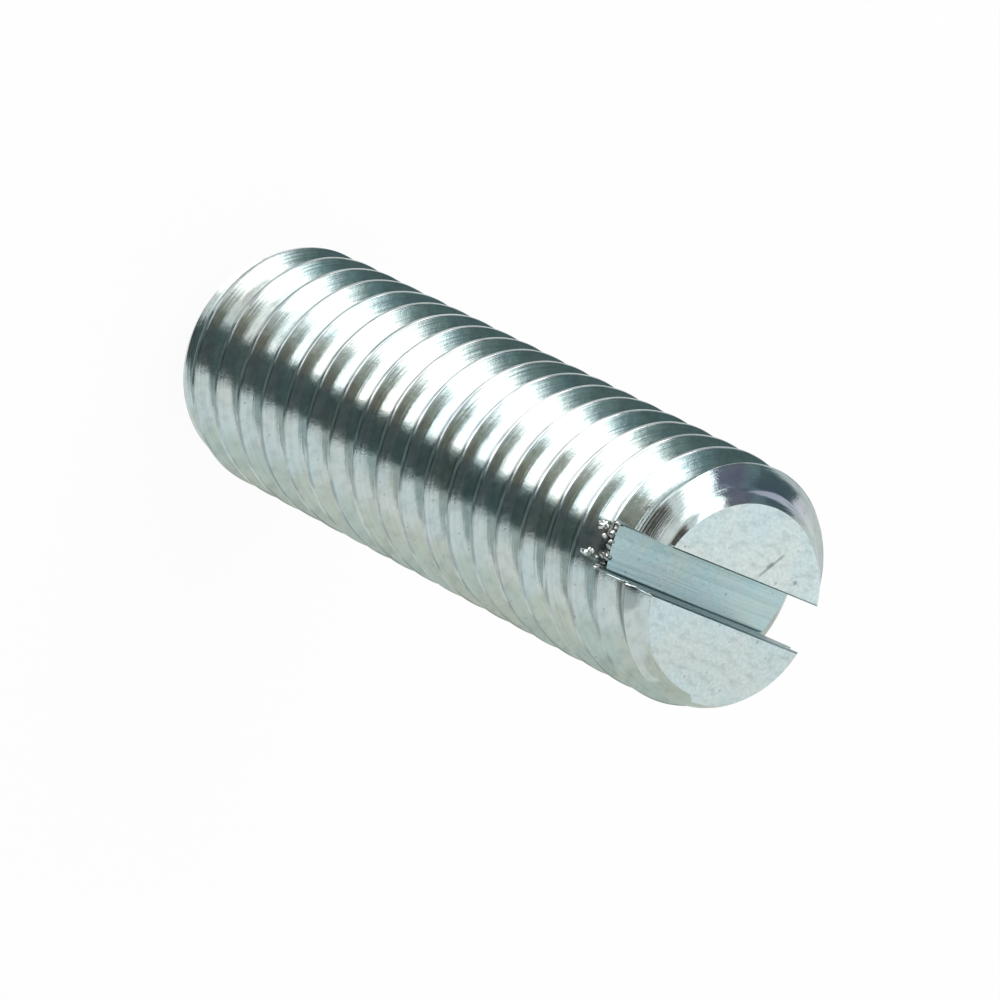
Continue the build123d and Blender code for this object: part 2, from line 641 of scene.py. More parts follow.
class Wiring:
    """Adds shader nodes to one tree and joins them."""

    def __init__(self, tree: bpy.types.NodeTree) -> None:
        """Keeps the tree that the nodes go into."""
        self.tree = tree

    def add(self, kind: str, **settings: object) -> bpy.types.Node:
        """Adds a node to the tree.

        Args:
            kind: of node.
            settings: its options, by name.

        Returns:
            The node.
        """
        node = self.tree.nodes.new(kind)
        for name, value in settings.items():
            setattr(node, name, value)
        return node

    def put(self, value: Socket | float | tuple, socket: Socket) -> None:
        """Joins a socket to another, or writes a value into it.

        Args:
            value: the other socket, or the value.
            socket: the socket that takes it.
        """
        if isinstance(value, bpy.types.NodeSocket):
            self.tree.links.new(value, socket)
        elif isinstance(value, tuple) and len(value) == 3 and socket.type == "RGBA":
            socket.default_value = (*value, 1.0)
        else:
            socket.default_value = value

    def math(self, operation: str, a: Socket | float, b: Socket | float = 0.0) -> Socket:
        """A plain operation on one or two values.

        Args:
            operation: its name in Blender.
            a: the first value.
            b: the second value, where the operation has one.

        Returns:
            The result's socket.
        """
        node = self.add("ShaderNodeMath", operation=operation)
        self.put(a, node.inputs[0])
        self.put(b, node.inputs[1])
        return node.outputs[0]

    def times(self, a: Socket | float, b: Socket | float) -> Socket:
        """The product of two values."""
        return self.math("MULTIPLY", a, b)

    def plus(self, a: Socket | float, b: Socket | float) -> Socket:
        """The sum of two values."""
        return self.math("ADD", a, b)

    def fade(
        self, value: Socket, low: float, high: float, start: float = 0.0, end: float = 1.0
    ) -> Socket:
        """A smooth step between two values of its input.

        Args:
            value: what the step looks at.
            low: where the step starts.
            high: where it ends.
            start: its result below the step.
            end: its result above the step.

        Returns:
            The step's socket.
        """
        node = self.add("ShaderNodeMapRange", interpolation_type="SMOOTHSTEP")
        self.put(value, node.inputs["Value"])
        names = ("From Min", "From Max", "To Min", "To Max")
        for name, number in zip(names, (low, high, start, end)):
            node.inputs[name].default_value = number
        return node.outputs["Result"]

    def blend(
        self, factor: Socket | float, a: Socket | Colour, b: Socket | Colour, kind: str = "MIX"
    ) -> Socket:
        """One colour over another.

        Args:
            factor: how much of the second colour there is.
            a: the first colour.
            b: the second colour.
            kind: how the second goes over the first.

        Returns:
            The colour's socket.
        """
        node = self.add("ShaderNodeMix", data_type="RGBA", blend_type=kind)
        self.put(factor, node.inputs["Factor"])
        for colour, number in zip((a, b), MIX_INPUTS):
            self.put(colour, node.inputs[number])
        return node.outputs[MIX_OUTPUT]

    def axes_mm(self) -> bpy.types.NodeOutputs:
        """The place on the screw in millimetres, as sockets named X, Y and Z."""
        node = self.add("ShaderNodeSeparateXYZ")
        self.put(self.place_mm(), node.inputs[0])
        return node.outputs

    def place_mm(self, stretch: Place = (1.0, 1.0, 1.0)) -> Socket:
        """The place on the screw in millimetres, drawn out along the axes by a stretch."""
        node = self.add("ShaderNodeVectorMath", operation="MULTIPLY")
        self.put(self.add("ShaderNodeTexCoord").outputs["Object"], node.inputs[0])
        node.inputs[1].default_value = tuple(s / MM for s in stretch)
        return node.outputs[0]

    def noise(self, place: Socket, scale: Socket | float, detail: float = 2.0) -> Socket:
        """A cloudy pattern from 0 to 1.

        Args:
            place: where it is read.
            scale: how small the clouds are.
            detail: how many finer sizes they have.

        Returns:
            The pattern's socket.
        """
        node = self.add("ShaderNodeTexNoise")
        self.put(place, node.inputs["Vector"])
        self.put(scale, node.inputs["Scale"])
        node.inputs["Detail"].default_value = detail
        return node.outputs["Fac"]

    def bump(self, height: Socket, strength: float, distance: float) -> Socket:
        """A normal that follows a height.

        Args:
            height: to be followed, from 0 to 1.
            strength: how strongly it shows.
            distance: the depth of a height of 1, in millimetres.

        Returns:
            The normal's socket.
        """
        node = self.add("ShaderNodeBump")
        node.inputs["Strength"].default_value = strength
        node.inputs["Distance"].default_value = distance * MM
        self.put(height, node.inputs["Height"])
        return node.outputs[0]


class Effects:
    """The shader node groups that the screw's finishes share. Each is built once."""

    def __init__(self) -> None:
        """Builds the groups."""
        self.grain = self.build_grain()
        self.film = self.build_film()
        self.specks = self.build_specks()

    def start(
        self, name: str, inputs: tuple[tuple[str, str, object], ...], output: tuple[str, str]
    ) -> tuple[Wiring, bpy.types.Node, bpy.types.Node]:
        """Starts a group with its sockets.

        Args:
            name: of the group.
            inputs: the name, socket type and value of each input.
            output: the name and socket type of the output.

        Returns:
            The group's wiring, its input node and its output node.
        """
        tree = bpy.data.node_groups.new(name, "ShaderNodeTree")
        for socket_name, kind, value in inputs:
            socket = tree.interface.new_socket(name=socket_name, in_out="INPUT", socket_type=kind)
            socket.default_value = value
        tree.interface.new_socket(name=output[0], in_out="OUTPUT", socket_type=output[1])
        wiring = Wiring(tree)
        return wiring, wiring.add("NodeGroupInput"), wiring.add("NodeGroupOutput")

    def build_grain(self) -> bpy.types.NodeTree:
        """The fine grain of the plating: a height from two sizes of cloud."""
        finer = 4.3
        coarse_share = 0.6
        inputs = (("Scale", FLOAT_SOCKET, 10.0),)
        wiring, given, result = self.start("plating_grain", inputs, ("Height", FLOAT_SOCKET))
        place = wiring.place_mm()
        scale = given.outputs["Scale"]
        coarse = wiring.times(wiring.noise(place, scale, 2.0), coarse_share)
        fine = wiring.times(wiring.noise(place, wiring.times(scale, finer), 3.0), 1 - coarse_share)
        wiring.put(wiring.plus(coarse, fine), result.inputs["Height"])
        return wiring.tree

    def build_film(self) -> bpy.types.NodeTree:
        """The thin passivation film: it tints the metal in soft patches, from one tint to another."""
        patch_edges = (0.34, 0.66)
        inputs = (
            *((name, COLOUR_SOCKET, (*WHITE, 1.0)) for name in ("Metal", "Cool Tint", "Warm Tint")),
            *((name, FLOAT_SOCKET, 1.0) for name in ("Scale", "Amount")),
        )
        wiring, given, result = self.start("passivation_film", inputs, ("Color", COLOUR_SOCKET))
        cloud = wiring.noise(wiring.place_mm(), given.outputs["Scale"], 3.0)
        patches = wiring.fade(cloud, *patch_edges)
        tint = wiring.blend(patches, given.outputs["Cool Tint"], given.outputs["Warm Tint"])
        film = wiring.blend(given.outputs["Amount"], given.outputs["Metal"], tint, "MULTIPLY")
        wiring.put(film, result.inputs["Color"])
        return wiring.tree

    def build_specks(self) -> bpy.types.NodeTree:
        """Small pits and specks: a mask that is 1 in each."""
        soft_rim = 0.05
        inputs = (("Scale", FLOAT_SOCKET, 6.0), ("Size", FLOAT_SOCKET, 0.16))
        wiring, given, result = self.start("plating_specks", inputs, ("Mask", FLOAT_SOCKET))
        cells = wiring.add("ShaderNodeTexVoronoi")
        wiring.put(wiring.place_mm(), cells.inputs["Vector"])
        wiring.put(given.outputs["Scale"], cells.inputs["Scale"])
        size = wiring.times(given.outputs["Size"], cells.outputs["Color"])
        inside = wiring.math("SUBTRACT", size, cells.outputs["Distance"])
        wiring.put(wiring.fade(inside, 0.0, soft_rim), result.inputs["Mask"])
        return wiring.tree

    def place(
        self, wiring: Wiring, group: bpy.types.NodeTree, **values: Socket | float | Colour
    ) -> Socket:
        """Places a group in a material with its own values.

        Args:
            wiring: of the material.
            group: to be placed.
            values: of the group's inputs, with _ for a space in a name.

        Returns:
            The group's output.
        """
        node = wiring.add("ShaderNodeGroup", node_tree=group)
        for name, value in values.items():
            wiring.put(value, node.inputs[name.replace("_", " ")])
        return node.outputs[0]

    def filmed(
        self, wiring: Wiring, metal: Socket, cool: Colour, warm: Colour, scale: float
    ) -> Socket:
        """The metal's colour under the thin film.

        Args:
            wiring: of the material.
            metal: the colour of the bare metal.
            cool: tint of the film where it is thin.
            warm: tint of the film where it is thicker.
            scale: how small the film's patches are.

        Returns:
            The colour's socket.
        """
        tints = {"Cool_Tint": cool, "Warm_Tint": warm, "Scale": scale}
        return self.place(wiring, self.film, Metal=metal, **tints)


def metal_shader(material: bpy.types.Material) -> tuple[Wiring, bpy.types.Node]:
    """Readies a material as a metal.

    Args:
        material: to be readied.

    Returns:
        Its wiring and its shader.
    """
    material.use_nodes = True
    shader = material.node_tree.nodes["Principled BSDF"]
    shader.inputs["Metallic"].default_value = 1.0
    return Wiring(material.node_tree), shader


@dataclass(frozen=True)
class Cloud:
    """A cloudy pattern, and the mask that is made of it.

    Args:
        scale: how small the clouds are.
        detail: how many finer sizes they have.
        edges: the pattern's values where the mask starts and where it is full.
        strength: of the full mask.
        stretch: how much closer the clouds lie along each axis.
    """

    scale: float
    detail: float
    edges: Span
    strength: float = 1.0
    stretch: Place = (1.0, 1.0, 1.0)

    def pattern(self, wiring: Wiring) -> Socket:
        """The pattern on the screw, from 0 to 1."""
        return wiring.noise(wiring.place_mm(self.stretch), self.scale, self.detail)

    def mask(self, wiring: Wiring, pattern: Socket) -> Socket:
        """The mask that a pattern gives."""
        return wiring.fade(pattern, *self.edges, 0.0, self.strength)


@dataclass(frozen=True)
class Specks:
    """Small pits or specks.

    Args:
        scale: how close together they lie.
        size: how large they are.
        strength: how strongly they show.
    """

    scale: float
    size: float
    strength: float

    def mask(self, wiring: Wiring, effects: Effects) -> Socket:
        """A mask that is 1 in each speck."""
        return effects.place(wiring, effects.specks, Scale=self.scale, Size=self.size)


@dataclass(frozen=True)
class Grain:
    """The plating's fine grain, with the gloss and the relief that go with it.

    Args:
        scale: how fine the grain is.
        edges: the grain's values where the gloss starts to change and stops.
        roughness: of the shader at those two values.
        bump_strength: how strongly the relief shows.
        bump_depth: of the relief, in millimetres.
    """

    scale: float
    edges: Span
    roughness: Span
    bump_strength: float
    bump_depth: float

    def pattern(self, wiring: Wiring, effects: Effects) -> Socket:
        """The grain's height on the screw, from 0 to 1."""
        return effects.place(wiring, effects.grain, Scale=self.scale)

    def rough(self, wiring: Wiring, pattern: Socket) -> Socket:
        """The shader's roughness over the grain."""
        return wiring.fade(pattern, *self.edges, *self.roughness)

    def relief(self, wiring: Wiring, height: Socket) -> Socket:
        """A normal that follows a height."""
        return wiring.bump(height, self.bump_strength, self.bump_depth)


@dataclass(frozen=True)
class RolledZinc:
    """Bright zinc on the rolled thread, the shoulder and the point's chamfer.

    Args:
        flank: colour of the flanks, as linear red, green and blue.
        crest: colour of the crests, which are handled most.
        crest_dark: colour of the crests where the plating is thin.
        root: colour deep in the groove, a little paler and warmer than the flanks: a painted highlight.
        dirt_and_root_shade: colour of the painted shade deep in the groove's root, and of the grime in
            the streaks, the smudge and the pits.
        cool: tint of the film where it is thin.
        warm: tint of the film where it is thicker.
        film_scale: how small the film's patches are.
        root_depth: the depths in the groove where that painted highlight starts and is full.
        root_shade_depth: the depths where the painted shade in the root starts and is full.
        root_shade_strength: of the painted shade there.
        handled_depth: the depths where the crests' wear starts to fade and is gone.
        handled_radius: the radii where that wear starts and is full, which keeps it off the
            shoulder.
        handled_rough: how much duller the wear makes the metal.
        thin_plating: the dark patches on the crests.
        violet: colour of the film on the shoulder's edge.
        violet_below: how far below the end face it starts and is full, in millimetres.
        violet_side: the places along Y where it starts to fade and is gone, in millimetres.
        violet_strength: of it.
        streak: the streaks that follow the thread.
        streak_ring: radius of the ring that their pattern is read from, once for each turn.
        streak_climb: how far that ring moves on for each millimetre of height.
        mottle: the dull patches all over.
        smudge_at: place of the dark smudge beside the slot, in millimetres.
        smudge_size: its radius in millimetres.
        smudge_edges: how far it outweighs the mottle where it starts and where it is full.
        smudge_strength: of it.
        pits: the small pits.
        nick_at: place of the small nick on a crest, in millimetres.
        nick_size: its radius in millimetres.
        nick_rough: how much duller the metal is in it.
        bare: colour in it, paler than the plating: a painted highlight of the nick's glint.
        grain: the fine grain.
        relief_shares: how much the grain and the streaks each add to the relief.
    """

    flank: Colour = (0.53, 0.605, 0.605)
    crest: Colour = (0.50, 0.57, 0.57)
    crest_dark: Colour = (0.32, 0.375, 0.38)
    root: Colour = (0.58, 0.625, 0.615)
    dirt_and_root_shade: Colour = (0.20, 0.235, 0.235)
    cool: Colour = (0.94, 1.0, 1.01)
    warm: Colour = (1.02, 1.0, 0.96)
    film_scale: float = 0.7
    root_depth: Span = (0.22, 0.36)
    # Where the painted shade deep in the root starts and is full, and how dark it gets.
    root_shade_depth: Span = (0.43, 0.51)
    root_shade_strength: float = 0.75
    handled_depth: Span = (0.02, 0.05)
    handled_radius: Span = (2.90, 2.97)
    handled_rough: float = 0.03
    thin_plating: Cloud = Cloud(scale=1.3, detail=3.0, edges=(0.38, 0.60), stretch=(1.0, 1.0, 3.0))
    violet: Colour = (0.36, 0.35, 0.52)
    violet_below: Span = (0.85, 0.20)
    violet_side: Span = (-2.5, -1.9)
    violet_strength: float = 0.75
    streak: Cloud = Cloud(scale=2.2, detail=3.0, edges=(0.35, 0.75), strength=0.14)
    streak_ring: float = 2.4
    streak_climb: float = 0.35
    mottle: Cloud = Cloud(3.4, 4.0, edges=(0.42, 0.72), strength=0.24, stretch=(1.0, 1.0, 1.6))
    smudge_at: Place = (2.60, 0.98, 19.55)
    smudge_size: float = 0.75
    smudge_edges: Span = (-0.05, 0.30)
    smudge_strength: float = 0.60
    pits: Specks = Specks(scale=4.5, size=0.20, strength=0.35)
    nick_at: Place = (1.38, -2.60, 10.96)
    nick_size: float = 0.16
    nick_rough: float = 0.5
    bare: Colour = (0.86, 0.90, 0.90)
    grain: Grain = Grain(7.0, (0.3, 0.75), (0.09, 0.17), bump_strength=0.50, bump_depth=0.006)
    relief_shares: Span = (0.8, 0.9)

    def near(self, wiring: Wiring, place: Place, size: float) -> Socket:
        """A soft ball around a place: 1 in its middle and 0 at its rim.

        Args:
            wiring: of the material.
            place: its middle, in millimetres.
            size: its radius in millimetres.

        Returns:
            The mask's socket.
        """
        gap = wiring.add("ShaderNodeVectorMath", operation="DISTANCE")
        wiring.put(wiring.place_mm(), gap.inputs[0])
        gap.inputs[1].default_value = place
        return wiring.fade(gap.outputs["Value"], 0.0, size, 1.0, 0.0)

    def handled(self, wiring: Wiring, depth: Socket) -> Socket:
        """A mask that is 1 on the crests of the full thread, which are handled most.

        Args:
            wiring: of the material.
            depth: in the groove, in millimetres.

        Returns:
            The mask's socket.
        """
        axes = wiring.axes_mm()
        squares = (wiring.times(axes[name], axes[name]) for name in ("X", "Y"))
        radius = wiring.math("SQRT", wiring.plus(*squares))
        shallow = wiring.fade(depth, *self.handled_depth, 1.0, 0.0)
        return wiring.times(shallow, wiring.fade(radius, *self.handled_radius))

    def thread_metal(self, wiring: Wiring, depth: Socket, handled: Socket) -> Socket:
        """The metal's colour from the root of the groove to the crests, with painted shade deep in the
        root.

        Args:
            wiring: of the material.
            depth: in the groove, in millimetres.
            handled: the mask of the crests' wear.

        Returns:
            The colour's socket.
        """
        # Painted highlight: deeper in the groove the flanks' colour turns to the paler root colour.
        metal = wiring.blend(wiring.fade(depth, *self.root_depth), self.flank, self.root)
        # Painted shade: the deepest part of the groove is darkened, as if shaded there.
        held = wiring.fade(depth, *self.root_shade_depth, 0.0, self.root_shade_strength)
        metal = wiring.blend(held, metal, self.dirt_and_root_shade)
        thin = self.thin_plating.mask(wiring, self.thin_plating.pattern(wiring))
        return wiring.blend(handled, metal, wiring.blend(thin, self.crest, self.crest_dark))

    def violet_edge(self, wiring: Wiring, length: float) -> Socket:
        """A mask of the violet film on the shoulder's edge.

        Args:
            wiring: of the material.
            length: of the screw, in metres.

        Returns:
            The mask's socket.
        """
        axes = wiring.axes_mm()
        start, full = (length / MM - below for below in self.violet_below)
        edge = wiring.fade(axes["Z"], start, full)
        side = wiring.fade(axes["Y"], *self.violet_side, 1.0, 0.0)
        return wiring.times(wiring.times(edge, side), self.violet_strength)

    def streaks(self, wiring: Wiring) -> Socket:
        """A pattern of streaks that follow the thread, whose pitch is a millimetre.

        Args:
            wiring: of the material.

        Returns:
            The pattern's socket, from 0 to 1.
        """
        axes = wiring.axes_mm()
        turn = wiring.math("ARCTAN2", axes["Y"], axes["X"])
        phase = wiring.math("SUBTRACT", wiring.times(axes["Z"], 2 * pi), turn)
        place = wiring.add("ShaderNodeCombineXYZ")
        wiring.put(wiring.times(wiring.math("COSINE", phase), self.streak_ring), place.inputs[0])
        wiring.put(wiring.times(wiring.math("SINE", phase), self.streak_ring), place.inputs[1])
        wiring.put(wiring.times(axes["Z"], self.streak_climb), place.inputs[2])
        return wiring.noise(place.outputs[0], self.streak.scale, self.streak.detail)

    def dress(self, material: bpy.types.Material, effects: Effects, length: float) -> None:
        """Paints the material.

        Args:
            material: of the rolled surfaces.
            effects: the shared groups.
            length: of the screw.
        """
        wiring, shader = metal_shader(material)
        depth = wiring.add("ShaderNodeAttribute", attribute_name=DEPTH_NAME).outputs["Fac"]
        handled = self.handled(wiring, depth)
        metal = self.thread_metal(wiring, depth, handled)
        film = effects.filmed(wiring, metal, self.cool, self.warm, self.film_scale)
        film = wiring.blend(self.violet_edge(wiring, length), film, self.violet)

        streaks = self.streaks(wiring)
        mottle = self.mottle.pattern(wiring)
        smudge = wiring.math("SUBTRACT", self.near(wiring, self.smudge_at, self.smudge_size), mottle)
        dark_masks = (
            self.streak.mask(wiring, streaks),
            self.mottle.mask(wiring, mottle),
            wiring.fade(smudge, *self.smudge_edges, 0.0, self.smudge_strength),
            wiring.times(self.pits.mask(wiring, effects), self.pits.strength),
        )
        for mask in dark_masks:
            film = wiring.blend(mask, film, self.dirt_and_root_shade)
        # The nick: a small dent in the plating, painted pale as a highlight of its glint, and made
        # duller.
        nick = self.near(wiring, self.nick_at, self.nick_size)
        wiring.put(wiring.blend(nick, film, self.bare), shader.inputs["Base Color"])

        grain = self.grain.pattern(wiring, effects)
        wear = wiring.plus(wiring.times(handled, self.handled_rough), wiring.times(nick, self.nick_rough))
        wiring.put(wiring.plus(self.grain.rough(wiring, grain), wear), shader.inputs["Roughness"])
        shares = zip((grain, streaks), self.relief_shares)
        height = wiring.plus(*(wiring.times(pattern, share) for pattern, share in shares))
        wiring.put(self.grain.relief(wiring, height), shader.inputs["Normal"])


@dataclass(frozen=True)
class SawnZinc:
    """Zinc in the slot, over the lines that the saw left along it.

    Args:
        slot: the form of the driver slot.
        metal: its colour.
        line: colour between the saw's lines.
        pit_and_corner_shade: colour of the small pits, and of the painted shade on the walls and in the
            floor's corners.
        cool: tint of the film where it is thin.
        warm: tint of the film where it is thicker.
        film_scale: how small the film's patches are.
        lines: the saw's lines.
        corner_shade_reach: how far from the walls the painted shade in the corners starts, in
            millimetres.
        corner_shade_strength: how dark that painted shade gets.
        pits: the small pits.
        grain: the fine grain.
        grain_share: how much the grain adds to the relief of the lines.
    """

    slot: SlotForm
    metal: Colour = (0.54, 0.70, 0.74)
    line: Colour = (0.38, 0.52, 0.56)
    pit_and_corner_shade: Colour = (0.14, 0.18, 0.18)
    cool: Colour = (0.92, 1.0, 1.02)
    warm: Colour = (1.03, 1.0, 0.97)
    film_scale: float = 1.1
    lines: Cloud = Cloud(1.6, 4.0, edges=(0.42, 0.68), strength=0.45, stretch=(0.14, 9.0, 9.0))
    corner_shade_reach: float = 0.10
    corner_shade_strength: float = 0.55
    pits: Specks = Specks(scale=5.0, size=0.2, strength=0.4)
    grain: Grain = Grain(14.0, (0.3, 0.7), (0.30, 0.46), bump_strength=0.45, bump_depth=0.008)
    grain_share: float = 0.4

    def corners(self, wiring: Wiring) -> Socket:
        """A mask of the painted shade on the slot's walls and on its floor close to them.

        Args:
            wiring: of the material.

        Returns:
            The mask's socket.
        """
        half = self.slot.width / 2 / MM
        off_middle = wiring.math("SUBTRACT", wiring.axes_mm()["Y"], self.slot.offset / MM)
        across = wiring.math("ABSOLUTE", off_middle)
        return wiring.fade(across, half - self.corner_shade_reach, half, 0.0, self.corner_shade_strength)

    def dress(self, material: bpy.types.Material, effects: Effects) -> None:
        """Paints the material of the sawn surfaces.

        Args:
            material: of the sawn surfaces.
            effects: the shared groups.
        """
        wiring, shader = metal_shader(material)
        lines = self.lines.pattern(wiring)
        metal = wiring.blend(self.lines.mask(wiring, lines), self.metal, self.line)
        film = effects.filmed(wiring, metal, self.cool, self.warm, self.film_scale)
        pits = wiring.times(self.pits.mask(wiring, effects), self.pits.strength)
        # Painted shade: the walls and the floor's corners are darkened, and so are the pits.
        for mask in (self.corners(wiring), pits):
            film = wiring.blend(mask, film, self.pit_and_corner_shade)
        wiring.put(film, shader.inputs["Base Color"])
        grain = self.grain.pattern(wiring, effects)
        wiring.put(self.grain.rough(wiring, grain), shader.inputs["Roughness"])
        height = wiring.plus(lines, wiring.times(grain, self.grain_share))
        wiring.put(self.grain.relief(wiring, height), shader.inputs["Normal"])


@dataclass(frozen=True)
class Scratch:
    """A straight scratch on an end face.

    Args:
        start: one end along X and Y, in millimetres.
        end: the other end.
        width: across it, in millimetres.
        strength: how dark it is.
        soft_side: where its sides start to fade, as a share of its width.
        soft_ends: where its ends start to fade and are gone, as shares of its length.
    """

    start: Spot
    end: Spot
    width: float
    strength: float
    soft_side: float = 0.3
    soft_ends: Span = (0.35, 0.5)

    def mask(self, wiring: Wiring) -> Socket:
        """A mask along the scratch.

        Args:
            wiring: of the material.

        Returns:
            The mask's socket.
        """
        along = Vector(self.end) - Vector(self.start)
        fading, gone = (along.length * share for share in self.soft_ends)
        along.normalize()
        middle = (Vector(self.start) + Vector(self.end)) / 2
        axes = wiring.axes_mm()
        x = wiring.math("SUBTRACT", axes["X"], middle.x)
        y = wiring.math("SUBTRACT", axes["Y"], middle.y)
        run = wiring.math("ABSOLUTE", wiring.plus(wiring.times(x, along.x), wiring.times(y, along.y)))
        aside = wiring.math("SUBTRACT", wiring.times(x, along.y), wiring.times(y, along.x))
        off = wiring.math("ABSOLUTE", aside)
        inside = wiring.fade(off, self.width * self.soft_side, self.width, 1.0, 0.0)
        within = wiring.fade(run, fading, gone, 1.0, 0.0)
        return wiring.times(wiring.times(inside, within), self.strength)


@dataclass(frozen=True)
class CutEndZinc:
    """Matte zinc on the two end faces, with fine specks.

    Args:
        metal: its colour.
        pale: colour of the lighter grain.
        pale_edges: the grain's values where that colour starts and is full.
        speck: colour of the specks, the clouds, the scratches and the painted shade towards +Y.
        cool: tint of the film where it is thin.
        warm: tint of the film where it is thicker.
        film_scale: how small the film's patches are.
        clouds: the dull patches.
        shade_side: the places along Y where the painted shade starts and where it is full, in
            millimetres.
        shade_strength: how dark that painted shade gets there.
        specks: the specks.
        speck_depth: how much they take from the relief of the grain.
        scratches: the small scratches.
        grain: the fine grain.
    """

    metal: Colour = (0.655, 0.755, 0.78)
    pale: Colour = (0.79, 0.89, 0.915)
    pale_edges: Span = (0.38, 0.64)
    speck: Colour = (0.20, 0.24, 0.25)
    cool: Colour = (0.95, 1.0, 1.02)
    warm: Colour = (1.02, 1.0, 0.97)
    film_scale: float = 0.8
    clouds: Cloud = Cloud(2.6, 4.0, edges=(0.45, 0.75), strength=0.26, stretch=(1.0, 2.2, 1.0))
    shade_side: Span = (-0.4, 1.2)
    shade_strength: float = 0.11
    specks: Specks = Specks(scale=3.6, size=0.17, strength=0.45)
    speck_depth: float = 0.5
    scratches: tuple[Scratch, ...] = (
        Scratch((-0.30, -0.50), (-0.82, -1.28), width=0.050, strength=0.55),
        Scratch((-0.46, -0.80), (-0.60, -0.98), width=0.070, strength=0.60),
        Scratch((-1.36, -0.70), (-1.46, -0.78), width=0.070, strength=0.60),
    )
    grain: Grain = Grain(11.0, (0.3, 0.7), (0.40, 0.56), bump_strength=0.5, bump_depth=0.010)

    def dress(self, material: bpy.types.Material, effects: Effects) -> None:
        """Paints the material of the end faces.

        Args:
            material: of the end faces.
            effects: the shared groups.
        """
        wiring, shader = metal_shader(material)
        grain = self.grain.pattern(wiring, effects)
        metal = wiring.blend(wiring.fade(grain, *self.pale_edges), self.metal, self.pale)
        film = effects.filmed(wiring, metal, self.cool, self.warm, self.film_scale)
        specks = self.specks.mask(wiring, effects)
        dark_masks = [
            self.clouds.mask(wiring, self.clouds.pattern(wiring)),
            # Painted shade: the face darkens towards +Y.
            wiring.fade(wiring.axes_mm()["Y"], *self.shade_side, 0.0, self.shade_strength),
            wiring.times(specks, self.specks.strength),
        ]
        dark_masks += [scratch.mask(wiring) for scratch in self.scratches]
        for mask in dark_masks:
            film = wiring.blend(mask, film, self.speck)
        wiring.put(film, shader.inputs["Base Color"])
        wiring.put(self.grain.rough(wiring, grain), shader.inputs["Roughness"])
        height = wiring.math("SUBTRACT", grain, wiring.times(specks, self.speck_depth))
        wiring.put(self.grain.relief(wiring, height), shader.inputs["Normal"])


@dataclass(frozen=True)
class StudioCamera:
    """The photograph's view of the screw.

    Args:
        azimuth: of the camera, in degrees from the slot's direction.
        elevation: of the camera above the floor, in degrees.
        roll: how far the picture is turned, in degrees.
        distance: from the middle of the screw, in metres.
        focal_pixels: the focal length in pixels of the photograph.
        screw_at: where the middle of the screw falls in it.
        sensor: the width of the camera's film, in millimetres.
        clip: from how near to how far the camera sees, in metres.
    """

    azimuth: float = -3.92
    elevation: float = 51.34
    roll: float = 27.19
    distance: float = 218.4 * MM
    focal_pixels: float = 9332.0
    screw_at: Spot = (491.3, 468.4)
    sensor: float = 36.0
    clip: Span = (0.01, 10.0)

    def place(self, aim: Vector) -> bpy.types.Object:
        """Stands the camera in the studio.

        Args:
            aim: the middle of the screw.

        Returns:
            The camera's object.
        """
        back = direction(self.azimuth, self.elevation)
        side = Vector((sin(radians(self.azimuth)), -cos(radians(self.azimuth)), 0.0))
        level = side.cross(back).normalized()
        rho = radians(self.roll)
        right = cos(rho) * level + sin(rho) * side
        up = back.cross(right)
        scale = self.distance / self.focal_pixels
        eye = aim + back * self.distance
        across = (PICTURE / 2 - self.screw_at[0]) * scale
        upwards = (self.screw_at[1] - PICTURE / 2) * scale
        target = aim + across * right + upwards * up
        back = (eye - target).normalized()
        right = (right - right.dot(back) * back).normalized()
        up = back.cross(right)
        data = bpy.data.cameras.new("camera")
        data.sensor_width = self.sensor
        data.lens = self.focal_pixels * data.sensor_width / PICTURE
        data.clip_start, data.clip_end = self.clip
        camera = in_scene("camera", data)
        turn = Matrix((right, up, back)).transposed()
        camera.matrix_world = Matrix.Translation(eye) @ turn.to_4x4()
        bpy.context.scene.camera = camera
        return camera


@dataclass(frozen=True)
class Softbox:
    """A lamp behind a white cloth.

    Args:
        name: of the lamp.
        azimuth: where it stands, in degrees.
        elevation: how high it stands, in degrees.
        width: across, in metres.
        height: upwards, in metres.
        brightness: of its cloth, where 1 is as bright as white paper.
        distance: from the screw, in metres.
    """

    name: str
    azimuth: float
    elevation: float
    width: float
    height: float
    brightness: float
    distance: float = 0.6

    def place(self, aim: Vector) -> bpy.types.Object:
        """Hangs the lamp so that it faces the screw.

        Args:
            aim: the middle of the screw.

        Returns:
            The lamp's object.
        """
        data = bpy.data.lights.new(self.name, "AREA")
        data.shape = "RECTANGLE"
        data.size = self.width
        data.size_y = self.height
        data.energy = self.brightness * pi * self.width * self.height
        lamp = in_scene(self.name, data)
        towards = direction(self.azimuth, self.elevation)
        lamp.location = aim + towards * self.distance
        lamp.rotation_euler = towards.to_track_quat("Z", "Y").to_euler()
        return lamp


def cleared(owner: bpy.types.Material | bpy.types.World) -> Wiring:
    """The wiring of a material or a world, with its own nodes cleared away."""
    owner.use_nodes = True
    owner.node_tree.nodes.clear()
    return Wiring(owner.node_tree)


